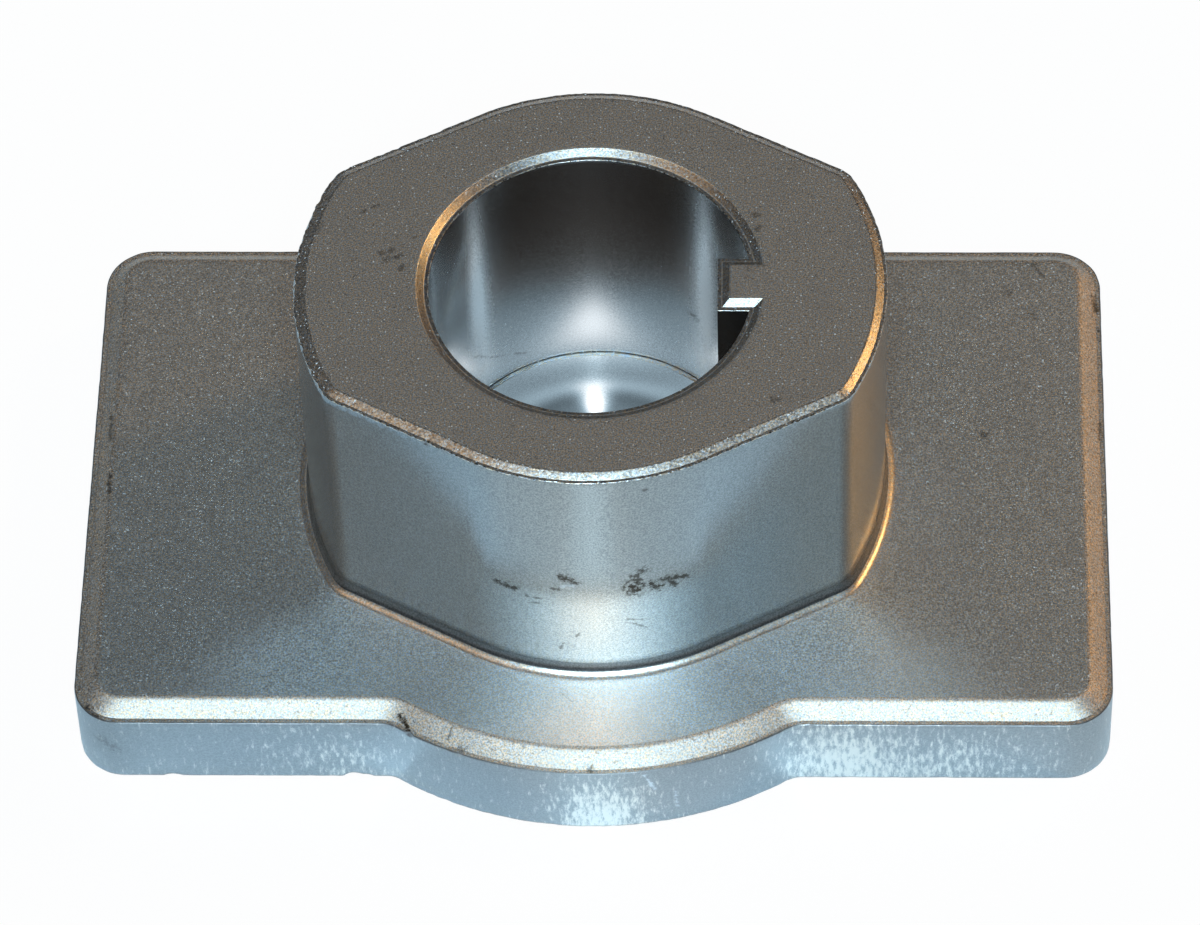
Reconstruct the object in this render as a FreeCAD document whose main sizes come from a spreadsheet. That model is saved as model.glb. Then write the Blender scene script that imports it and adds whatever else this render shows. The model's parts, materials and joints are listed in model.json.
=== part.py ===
import FreeCAD, Part
import Sketcher
import os
from math import acos, asin, atan2, cos, pi, radians, sin, sqrt

# Blade adapter of a rotary mower, pressed from iron powder as one piece.
# The crankshaft's end goes down into the keyed bore of the hub and stops on a ledge,
# and the blade is clamped under the oblong plate.
# The origin is on the bore's axis in the plane of the underside, with +Z up along the bore
# and +X along the plate, towards the key. Lengths are in millimetres and angles in degrees.

sizes = {
    # bore for the crankshaft, with its key and the ledge under the shaft's end
    "bore_dia": 22.25,
    "key_width": 4.6,
    "key_rise": 2.38,
    "ledge_height": 7.2,
    "ledge_width": 0.3,
    "bore_land": 0.3,
    "bore_chamfer_width": 0.55,
    "bore_chamfer_drop": 0.35,
    # hub: round ends, four flats, and front and back arcs that run tangent into the flats
    "total_height": 29.0,
    "hub_dia": 40.8,
    "hub_flats": 34.5,
    "flat_angle": 61.7,
    "hub_corner": 2.5,
    "hub_land": 0.25,
    "hub_chamfer_width": 0.52,
    "hub_chamfer_drop": 0.28,
    "foot_fillet": 0.95,
    # plate: oblong, with a round bulge in the middle of each long side
    "plate_length": 72.35,
    "plate_width": 42.35,
    "plate_corner": 3.35,
    "bulge_dia": 50.8,
    "bulge_blend": 2.5,
    "plate_wall": 6.35,
    "plate_land": 0.4,
    "plate_chamfer_width": 1.13,
    "plate_chamfer_drop": 0.9,
}

# how far a face may lie from a height and still count as lying at it
flush = 1e-4

# the sketch's own origin, and the points of its lines and arcs
ORIGIN = -1
START, END, CENTRE = 1, 2, 3

plate_top = "Sizes.plate_wall + Sizes.plate_chamfer_drop"
hub_wall_top = "Sizes.total_height - Sizes.hub_chamfer_drop"
bore_wall_top = "Sizes.total_height - Sizes.bore_chamfer_drop"


def size_sheet(doc):
    sheet = doc.addObject("Spreadsheet::Sheet", "Sizes")
    for row, (name, value) in enumerate(sizes.items(), start=1):
        sheet.set(f"A{row}", name)
        sheet.set(f"B{row}", str(value))
        sheet.setAlias(f"B{row}", name)
    doc.recompute()


def level_sketch(body, name, height):
    """An empty sketch parallel to the underside, at the given height."""
    sketch = body.newObject("Sketcher::SketchObject", name)
    plane = next(item for item in body.Origin.OriginFeatures if item.Role == "XY_Plane")
    sketch.AttachmentSupport = [(plane, "")]
    sketch.MapMode = "FlatFace"
    sketch.setExpression("AttachmentOffset.Base.z", height)
    return sketch


def add_line(sketch, start, end):
    return sketch.addGeometry(Part.LineSegment(FreeCAD.Vector(*start), FreeCAD.Vector(*end)))


def add_arc(sketch, centre, radius, first, last):
    circle = Part.Circle(FreeCAD.Vector(*centre), FreeCAD.Vector(0, 0, 1), radius)
    return sketch.addGeometry(Part.ArcOfCircle(circle, first, last))


def relate(sketch, kind, *where):
    sketch.addConstraint(Sketcher.Constraint(kind, *where))


def dimension(sketch, name, expression, kind, *where):
    """A named length or radius that follows the sheet."""
    value = float(sketch.evalExpression(expression))
    index = sketch.addConstraint(Sketcher.Constraint(kind, *where, value))
    sketch.renameConstraint(index, name)
    sketch.setExpression(f"Constraints.{name}", expression)


def join_tangent(sketch, chain):
    """Joins each piece of a closed outline to the next, tangent at the joint."""
    for piece, following in zip(chain, chain[1:] + chain[:1]):
        relate(sketch, "Tangent", piece[0], piece[2], following[0], following[1])


def plate_outline(body, name, height, inset):
    """Oblong outline with rounded corners, and bulges blended into the long sides."""
    sketch = level_sketch(body, name, height)
    driving = {
        "half_length": f"Sizes.plate_length / 2 - ({inset})",
        "half_width": f"Sizes.plate_width / 2 - ({inset})",
        "corner": f"Sizes.plate_corner - ({inset})",
        "bulge": f"Sizes.bulge_dia / 2 - ({inset})",
        "blend": f"Sizes.bulge_blend + ({inset})",
    }
    now = {key: float(sketch.evalExpression(text)) for key, text in driving.items()}
    end_x = now["half_length"] - now["corner"]
    end_y = now["half_width"] - now["corner"]
    blend_y = now["half_width"] + now["blend"]
    blend_x = sqrt((now["bulge"] + now["blend"]) ** 2 - blend_y ** 2)
    meet = atan2(blend_y, blend_x)
    chain = []
    for side, turn in ((1, 0), (-1, pi)):
        def line(x0, y0, x1, y1):
            index = add_line(sketch, (side * x0, side * y0), (side * x1, side * y1))
            chain.append((index, START, END))
            return index

        def arc(x, y, radius, first, last, hollow=False):
            index = add_arc(sketch, (side * x, side * y), now[radius], first + turn, last + turn)
            chain.append((index, END, START) if hollow else (index, START, END))
            return index

        ends = line(now["half_length"], -end_y, now["half_length"], end_y)
        corner = arc(end_x, end_y, "corner", 0, pi / 2)
        near = line(end_x, now["half_width"], blend_x, now["half_width"])
        blend = arc(blend_x, blend_y, "blend", pi + meet, 1.5 * pi, hollow=True)
        bulge = arc(0, 0, "bulge", meet, pi - meet)
        far_blend = arc(-blend_x, blend_y, "blend", 1.5 * pi, 2 * pi - meet, hollow=True)
        far = line(-blend_x, now["half_width"], -end_x, now["half_width"])
        far_corner = arc(-end_x, end_y, "corner", pi / 2, pi)

        tag = "back" if side > 0 else "front"
        relate(sketch, "Vertical", ends)
        relate(sketch, "Horizontal", near)
        relate(sketch, "Horizontal", far)
        relate(sketch, "Horizontal", near, END, far, START)
        relate(sketch, "Coincident", bulge, CENTRE, ORIGIN, START)
        relate(sketch, "Equal", corner, far_corner)
        relate(sketch, "Equal", blend, far_blend)
        span = (ORIGIN, START, ends, START) if side > 0 else (ends, START, ORIGIN, START)
        dimension(sketch, f"half_length_{tag}", driving["half_length"], "DistanceX", *span)
        span = (ORIGIN, START, near, END) if side > 0 else (near, END, ORIGIN, START)
        dimension(sketch, f"half_width_{tag}", driving["half_width"], "DistanceY", *span)
        dimension(sketch, f"corner_{tag}", driving["corner"], "Radius", corner)
        dimension(sketch, f"blend_{tag}", driving["blend"], "Radius", blend)
        dimension(sketch, f"bulge_{tag}", driving["bulge"], "Radius", bulge)
    join_tangent(sketch, chain)
    return sketch


def hub_outline(body, name, height, inset):
    """Circle cut by four flats, with an arc tangent to two flats at the front and at the back."""
    sketch = level_sketch(body, name, height)
    driving = {
        "round": f"Sizes.hub_dia / 2 - ({inset})",
        "flat": f"Sizes.hub_flats / 2 - ({inset})",
        "corner": f"Sizes.hub_corner - ({inset})",
    }
    now = {key: float(sketch.evalExpression(text)) for key, text in driving.items()}
    lean = radians(sizes["flat_angle"])
    reach = now["round"] - now["corner"]
    meet = lean - acos((now["flat"] - now["corner"]) / reach)
    corner_x = reach * cos(meet)
    corner_y = reach * sin(meet)
    touch_x = corner_x + now["corner"] * cos(lean)
    touch_y = corner_y + now["corner"] * sin(lean)
    tip_x = now["flat"] * cos(lean)
    tip_y = now["flat"] * sin(lean)
    chain = []
    flats = []
    for side, turn in ((1, 0), (-1, pi)):
        def line(x0, y0, x1, y1):
            index = add_line(sketch, (side * x0, side * y0), (side * x1, side * y1))
            chain.append((index, START, END))
            return index

        def arc(x, y, radius, first, last):
            index = add_arc(sketch, (side * x, side * y), now[radius], first + turn, last + turn)
            chain.append((index, START, END))
            return index

        end_arc = arc(0, 0, "round", -meet, meet)
        corner = arc(corner_x, corner_y, "corner", meet, lean)
        near_flat = line(touch_x, touch_y, tip_x, tip_y)
        side_arc = arc(0, 0, "flat", lean, pi - lean)
        far_flat = line(-tip_x, tip_y, -touch_x, touch_y)
        far_corner = arc(-corner_x, corner_y, "corner", pi - lean, pi - meet)

        tag = "back" if side > 0 else "front"
        relate(sketch, "Coincident", end_arc, CENTRE, ORIGIN, START)
        relate(sketch, "Coincident", side_arc, CENTRE, ORIGIN, START)
        relate(sketch, "Equal", corner, far_corner)
        dimension(sketch, f"round_{tag}", driving["round"], "Radius", end_arc)
        dimension(sketch, f"flat_{tag}", driving["flat"], "Radius", side_arc)
        dimension(sketch, f"corner_{tag}", driving["corner"], "Radius", corner)
        flats.append((near_flat, far_flat))
    join_tangent(sketch, chain)
    (near_flat, far_flat), (front_near, front_far) = flats
    relate(sketch, "Horizontal", near_flat, END, far_flat, START)
    relate(sketch, "Parallel", near_flat, front_near)
    relate(sketch, "Parallel", far_flat, front_far)
    index = sketch.addConstraint(Sketcher.Constraint("Angle", near_flat, lean + pi / 2))
    sketch.renameConstraint(index, "flat_run")
    sketch.setExpression("Constraints.flat_run", "Sizes.flat_angle * 1 deg + 90 deg")
    return sketch


def bore_outline(body, name, height, spread):
    """Round bore with the key standing into it from +X, opened out all round by the spread."""
    sketch = level_sketch(body, name, height)
    driving = {
        "round": f"Sizes.bore_dia / 2 + ({spread})",
        "key_face": f"Sizes.bore_dia / 2 - Sizes.key_rise + ({spread})",
        "key_width": f"Sizes.key_width - 2 * ({spread})",
    }
    now = {key: float(sketch.evalExpression(text)) for key, text in driving.items()}
    half_key = now["key_width"] / 2
    root_x = sqrt(now["round"] ** 2 - half_key ** 2)
    split = asin(half_key / now["round"])
    wall = add_arc(sketch, (0, 0), now["round"], split, 2 * pi - split)
    front = add_line(sketch, (root_x, -half_key), (now["key_face"], -half_key))
    face = add_line(sketch, (now["key_face"], -half_key), (now["key_face"], half_key))
    back = add_line(sketch, (now["key_face"], half_key), (root_x, half_key))
    relate(sketch, "Coincident", wall, CENTRE, ORIGIN, START)
    relate(sketch, "Coincident", wall, END, front, START)
    relate(sketch, "Coincident", front, END, face, START)
    relate(sketch, "Coincident", face, END, back, START)
    relate(sketch, "Coincident", back, END, wall, START)
    relate(sketch, "Horizontal", front)
    relate(sketch, "Horizontal", back)
    relate(sketch, "Symmetric", face, START, face, END, ORIGIN)
    dimension(sketch, "round", driving["round"], "Radius", wall)
    dimension(sketch, "key_face", driving["key_face"], "DistanceX", ORIGIN, START, face, START)
    dimension(sketch, "key_width", driving["key_width"], "DistanceY", face, START, face, END)
    return sketch


def pad(body, name, sketch, length):
    feature = body.newObject("PartDesign::Pad", name)
    feature.Profile = sketch
    feature.setExpression("Length", length)
    return feature


def loft(body, kind, name, lower, upper):
    """A ruled band between two outlines of the same form."""
    feature = body.newObject(f"PartDesign::{kind}", name)
    feature.Profile = lower
    feature.Sections = [upper]
    feature.Ruled = True
    return feature


def pocket(body, name, sketch, length, upwards=False):
    feature = body.newObject("PartDesign::Pocket", name)
    feature.Profile = sketch
    feature.Reversed = upwards
    feature.setExpression("Length", length)
    return feature


def build_plate(body):
    wall = plate_outline(body, "PlateWall", "0", "0")
    pad(body, "Plate", wall, "Sizes.plate_wall")
    land = plate_outline(body, "PlateLand", "Sizes.plate_wall", "Sizes.plate_land")
    top = plate_outline(body, "PlateTop", plate_top, "Sizes.plate_land + Sizes.plate_chamfer_width")
    loft(body, "AdditiveLoft", "PlateChamfer", land, top)


def build_hub(body):
    wall = hub_outline(body, "HubWall", "0", "0")
    pad(body, "Hub", wall, hub_wall_top)
    land = hub_outline(body, "HubLand", hub_wall_top, "Sizes.hub_land")
    top = hub_outline(body, "HubTop", "Sizes.total_height", "Sizes.hub_land + Sizes.hub_chamfer_width")
    loft(body, "AdditiveLoft", "HubChamfer", land, top)


def fillet_foot(body):
    """Rounds the inner corner where the hub's wall stands on the plate's top face."""
    base = body.Tip
    shape = base.Shape
    height = float(base.evalExpression(plate_top))
    top_face = next(
        face for face in shape.Faces
        if len(face.Wires) > 1
        and abs(face.BoundBox.ZMin - height) < flush
        and abs(face.BoundBox.ZMax - height) < flush
    )
    foot = [
        edge for wire in top_face.Wires if not wire.isSame(top_face.OuterWire) for edge in wire.Edges
    ]
    names = [
        f"Edge{number}" for number, edge in enumerate(shape.Edges, start=1)
        if any(edge.isSame(other) for other in foot)
    ]
    fillet = body.newObject("PartDesign::Fillet", "HubFoot")
    fillet.Base = (base, names)
    fillet.setExpression("Radius", "Sizes.foot_fillet")


def cut_bore(body):
    lower = level_sketch(body, "LowerBore", "0")
    circle = Part.Circle()
    circle.Radius = sizes["bore_dia"] / 2 - sizes["ledge_width"]
    ring = lower.addGeometry(circle)
    relate(lower, "Coincident", ring, CENTRE, ORIGIN, START)
    dimension(lower, "round", "Sizes.bore_dia / 2 - Sizes.ledge_width", "Radius", ring)
    pocket(body, "BoltPassage", lower, "Sizes.ledge_height", upwards=True)

    keyed = bore_outline(body, "KeyedBore", "Sizes.total_height", "0")
    pocket(body, "CrankBore", keyed, "Sizes.total_height - Sizes.ledge_height")
    land = bore_outline(body, "BoreLand", bore_wall_top, "Sizes.bore_land")
    top = bore_outline(
        body, "BoreMouth", "Sizes.total_height", "Sizes.bore_land + Sizes.bore_chamfer_width"
    )
    loft(body, "SubtractiveLoft", "BoreChamfer", land, top)


def check(doc, body):
    for item in doc.Objects:
        if "Invalid" in item.State or "Error" in item.State:
            raise RuntimeError(f"{item.Label} failed: {item.State}")
    shape = body.Shape
    if shape.isNull() or not shape.isValid() or len(shape.Solids) != 1:
        raise RuntimeError(f"{body.Label} is not one valid solid")


def main():
    doc = FreeCAD.newDocument("BladeAdapter")
    size_sheet(doc)
    body = doc.addObject("PartDesign::Body", "Adapter")
    body.Label = "blade_adapter"
    build_plate(body)
    build_hub(body)
    doc.recompute()
    fillet_foot(body)
    cut_bore(body)
    doc.recompute()
    check(doc, body)
    os.makedirs("parts", exist_ok=True)
    body.Shape.exportStep(f"parts/{body.Label}.step")
    print(f"{body.Label}: {body.Shape.Volume / 1000:.2f} cubic centimetres, {body.Shape.BoundBox}")


main()
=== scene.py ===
import json
import math

import bpy
import numpy as np
from mathutils import Matrix, Vector

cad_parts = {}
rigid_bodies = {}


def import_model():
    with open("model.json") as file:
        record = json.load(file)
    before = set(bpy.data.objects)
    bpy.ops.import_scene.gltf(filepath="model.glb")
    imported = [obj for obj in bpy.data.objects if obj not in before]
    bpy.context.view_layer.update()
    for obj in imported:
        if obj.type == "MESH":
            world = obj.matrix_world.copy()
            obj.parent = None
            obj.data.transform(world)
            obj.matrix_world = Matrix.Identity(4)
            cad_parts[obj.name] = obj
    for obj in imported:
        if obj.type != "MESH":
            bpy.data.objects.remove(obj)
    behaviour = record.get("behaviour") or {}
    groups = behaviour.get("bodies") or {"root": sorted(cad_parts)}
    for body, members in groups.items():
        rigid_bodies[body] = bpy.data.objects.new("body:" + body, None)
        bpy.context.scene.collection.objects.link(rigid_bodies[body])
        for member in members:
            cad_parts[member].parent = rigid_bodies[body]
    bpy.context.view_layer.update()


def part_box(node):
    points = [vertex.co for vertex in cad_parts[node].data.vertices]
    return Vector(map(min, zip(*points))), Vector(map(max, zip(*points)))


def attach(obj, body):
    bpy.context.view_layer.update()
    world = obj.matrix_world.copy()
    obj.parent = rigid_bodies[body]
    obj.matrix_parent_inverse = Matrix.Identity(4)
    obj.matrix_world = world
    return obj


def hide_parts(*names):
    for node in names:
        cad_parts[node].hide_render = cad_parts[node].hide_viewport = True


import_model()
lowCorner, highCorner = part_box("blade_adapter")
mm = 0.001

# sizes in millimetres and degrees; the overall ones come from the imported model
adapter = {
    "length": (highCorner.x - lowCorner.x) / mm,
    "bulgeDia": (highCorner.y - lowCorner.y) / mm,
    "height": (highCorner.z - lowCorner.z) / mm,
    "plateWidth": 42.35,
    "plateCorner": 3.35,
    "bulgeBlend": 2.5,
    "plateWall": 6.35,
    "plateLand": 0.4,
    "plateChamfer": (1.13, 0.9),     # width and drop
    "hubDia": 40.8,
    "hubFlats": 34.5,
    "flatAngle": 61.7,
    "hubCorner": 2.5,
    "hubLand": 0.25,
    "hubChamfer": (0.52, 0.28),
    "footFillet": 0.95,
    "filletSteps": 8,
    "footTurns": (0.75, 1.25),       # radians round the fillet where its painted shade and its polished part end
    "boreDia": 22.25,
    "keyWidth": 4.6,
    "keyRise": 2.38,
    "boreFoot": [(0.1, 0.0), (0.03, 0.03), (0.0, 0.1)],   # spread and height of the bore's soft lower edge
    "ledgeHeight": 7.2,
    "ledgeWidth": 0.3,
    "ledgeEdge": (0.16, 0.08),       # how far below the ledge its soft inner edge starts and turns
    "ledgeBack": 0.075,              # how far behind the lower bore that edge ends
    "ledgeShade": 0.12,              # height of the painted shade line above the ledge
    "boreLand": 0.3,
    "boreChamfer": (0.55, 0.35),
    "clean": 0.3,                    # width of the plain strip between a soft edge and a long face
    "topStrip": 0.5,                 # width of the plain strip round the bore's mouth
    # how far each edge is cut back to make it soft, and how uneven it is
    "softEdges": {"boreWall": 0.06, "boreLand": 0.05, "boreTop": 0.06, "hubTop": 0.08, "hubWall": 0.09,
                  "plateTop": 0.25, "plateWall": 0.1, "underside": 0.12},
    "uneven": {"hubTop": 0.008, "hubWall": 0.014, "plateWall": 0.01, "underside": 0.015},
    # mesh steps over half the key's face, one key side and the rest of the ring
    "faceCount": 14,
    "sideCount": 12,
    "roundCount": 1028,
    "crossStep": 10,                 # step on the key's side that stands over the ledge's edge
    "rootGap": 0.005,                # radians between that step and the end of the side
    # share of the key's half angle that its face takes on the round rings
    "faceShare": {"plain": 0.75, "ledge": 0.6, "top": 0.5},
    "sharpAngle": 16.0,
    "seed": 29,
    # damage, by degrees from the middle of the front: place, half width, depth
    "footNicks": [(-54.4, 0.6, 0.2), (-38.6, 1.1, 0.36), (-37.1, 1.0, 0.2)],
    "edgeNicks": [(-29.8, 0.7, 0.14), (35.5, 0.5, 0.05), (-21.0, 0.5, 0.07)],
    "chippedSide": (-85.0, 40.0, 3.0),   # place, spread and gain
}


def reachCircle(angle, centreX, centreY, radius, far):
    # how far a ray from the axis runs to a circle: c cos(t) plus or minus sqrt(r^2 - c^2 sin^2(t)),
    # with c the centre's distance and t the ray's angle from it
    centre = math.hypot(centreX, centreY)
    turn = angle - math.atan2(centreY, centreX)
    half = np.sqrt(np.clip(radius**2 - (centre * np.sin(turn))**2, 0, None))
    return centre * np.cos(turn) + (half if far else -half)


def foldAngle(angle):
    return np.arctan2(np.abs(np.sin(angle)), np.abs(np.cos(angle)))  # the four quarters are alike


def hubReach(angle, inset):
    # hub outline: arc at the left and right, small corner arc, flat (its distance over the cosine), then the
    # arc at the front and back
    a = foldAngle(angle)
    side = adapter["hubDia"] / 2 - inset
    flat = adapter["hubFlats"] / 2 - inset
    corner = adapter["hubCorner"] - inset
    flatTurn = math.radians(adapter["flatAngle"])
    cornerTurn = flatTurn - math.acos((flat - corner) / (side - corner))
    cornerX = (side - corner) * math.cos(cornerTurn)
    cornerY = (side - corner) * math.sin(cornerTurn)
    flatStart = math.atan2(cornerY + corner * math.sin(flatTurn), cornerX + corner * math.cos(flatTurn))
    return np.select(
        [a < cornerTurn, a < flatStart, a < flatTurn],
        [np.full_like(a, side),
         reachCircle(a, cornerX, cornerY, corner, True),
         flat / np.cos(flatTurn - a)],
        flat)


def plateReach(angle, inset):
    # plate outline: end edge, corner arc, long edge, hollow blend, then the bulge round the axis
    a = foldAngle(angle)
    halfLength = adapter["length"] / 2 - inset
    halfWidth = adapter["plateWidth"] / 2 - inset
    corner = adapter["plateCorner"] - inset
    bulge = adapter["bulgeDia"] / 2 - inset
    blend = adapter["bulgeBlend"] + inset
    blendY = halfWidth + blend
    blendX = math.sqrt((bulge + blend)**2 - blendY**2)
    stops = [
        math.atan2(halfWidth - corner, halfLength),
        math.atan2(halfWidth, halfLength - corner),
        math.atan2(halfWidth, blendX),
        math.atan2(blendY, blendX),
    ]
    return np.select(
        [a < stop for stop in stops],
        [halfLength / np.cos(a),
         reachCircle(a, halfLength - corner, halfWidth - corner, corner, True),
         halfWidth / np.sin(np.clip(a, 0.1, None)),
         reachCircle(a, blendX, blendY, blend, False)],
        bulge)


# steps along a ring, which starts at the middle of the key's face: half the face, one side, the round part,
# the other side and the other half of the face
boreRadius = adapter["boreDia"] / 2
lowRadius = boreRadius - adapter["ledgeWidth"]
ledgeRadius = lowRadius + adapter["ledgeBack"]
keyFace = boreRadius - adapter["keyRise"]
keyHalf = adapter["keyWidth"] / 2
keyRoot = math.asin(keyHalf / boreRadius)
ledgeRoot = math.asin(keyHalf / ledgeRadius)
sideCross = (ledgeRadius * math.cos(ledgeRoot) - keyFace) / (boreRadius * math.cos(keyRoot) - keyFace)
faceWay = np.arange(adapter["faceCount"]) / adapter["faceCount"]
sideSteps = np.arange(adapter["sideCount"] + 1)
sideStops = (0, adapter["crossStep"], adapter["sideCount"])
sideWay = np.interp(sideSteps, sideStops, (0, sideCross, 1))
roundWay = np.arange(adapter["roundCount"]) / adapter["roundCount"]
plateTop = adapter["plateWall"] + adapter["plateChamfer"][1]


def ringTurn(root, sideTurn):
    # angles of one ring; sideTurn gives the angle of each step on the key's side
    return np.concatenate([
        sideTurn[0] * faceWay, sideTurn[:-1],
        root + (2 * math.pi - 2 * root) * roundWay,
        2 * math.pi - sideTurn[:0:-1], 2 * math.pi - sideTurn[0] * (1 - faceWay)])


plainTurn = ringTurn(keyRoot, np.linspace(adapter["faceShare"]["plain"] * keyRoot, keyRoot, len(sideSteps)))
ringCount = len(plainTurn)
fromFront = (np.degrees(plainTurn) + 270) % 360 - 180   # degrees from the middle of the front


def keyedRing(spread):
    # bore outline with its key, moved into the metal by spread
    radius, half, face = boreRadius + spread, keyHalf - spread, keyFace + spread
    root = math.asin(half / radius)
    sideX = face + (radius * math.cos(root) - face) * sideWay
    turn = root + (2 * math.pi - 2 * root) * roundWay
    flatX, flatY = np.full_like(faceWay, face), np.full_like(sideX[:-1], half)
    x = np.concatenate([flatX, sideX[:-1], radius * np.cos(turn), sideX[:0:-1], flatX])
    y = np.concatenate([half * faceWay, flatY, radius * np.sin(turn), -flatY, -half * (1 - faceWay)])
    return x, y


def roundRing(radius, turn):
    return radius * np.cos(turn), radius * np.sin(turn)


def softPath(corners, cuts, steps=3):
    # every inner corner becomes a short curve (1-t)^2 P + 2t(1-t) C + t^2 Q, from a cut before to a cut after
    # it; the curve takes its own finish where one is given with the cut
    path = [corners[0]]
    for before, corner, after, (cut, edge) in zip(corners, corners[1:], corners[2:], cuts):
        p, c, q = (np.array(point[:2]) for point in (before, corner, after))
        start = c + (p - c) * cut / np.linalg.norm(p - c)
        end = c + (q - c) * cut / np.linalg.norm(q - c)
        for t in np.linspace(0, 1, steps + 1) if cut else [1]:
            finish = edge if edge and t < 1 else corner[2]
            path.append((*((1 - t)**2 * start + 2 * t * (1 - t) * c + t**2 * end), finish, corner[3]))
    return path + [corners[-1]]


def raggedLine(seed, reach):
    # uneven pressed edge: random steps round the ring, averaged over a few neighbours
    raw = np.random.default_rng(adapter["seed"] + seed).standard_normal(ringCount)
    window = np.hanning(2 * reach + 3)[1:-1]
    smooth = np.convolve(np.concatenate([raw[-reach:], raw, raw[:reach]]), window, "valid")
    return np.clip(1 + smooth / smooth.std(), 0, None)


def dentLine(dents):
    # each dent is a parabola of the angle, depth times 1 - d^2, with d the distance over the half width
    return sum(depth * np.clip(1 - ((fromFront - place) / half)**2, 0, None) for place, half, depth in dents)


def footFinish(turn):
    # the fillet is painted dark by the hub's wall as shade in the crease, polished further out, and like the
    # plate where it ends
    darkEnd, polishedEnd = adapter["footTurns"]
    if turn < darkEnd:
        return "footFillet"
    if turn < polishedEnd:
        return "footSweep"
    return "pressedFace"


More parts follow.
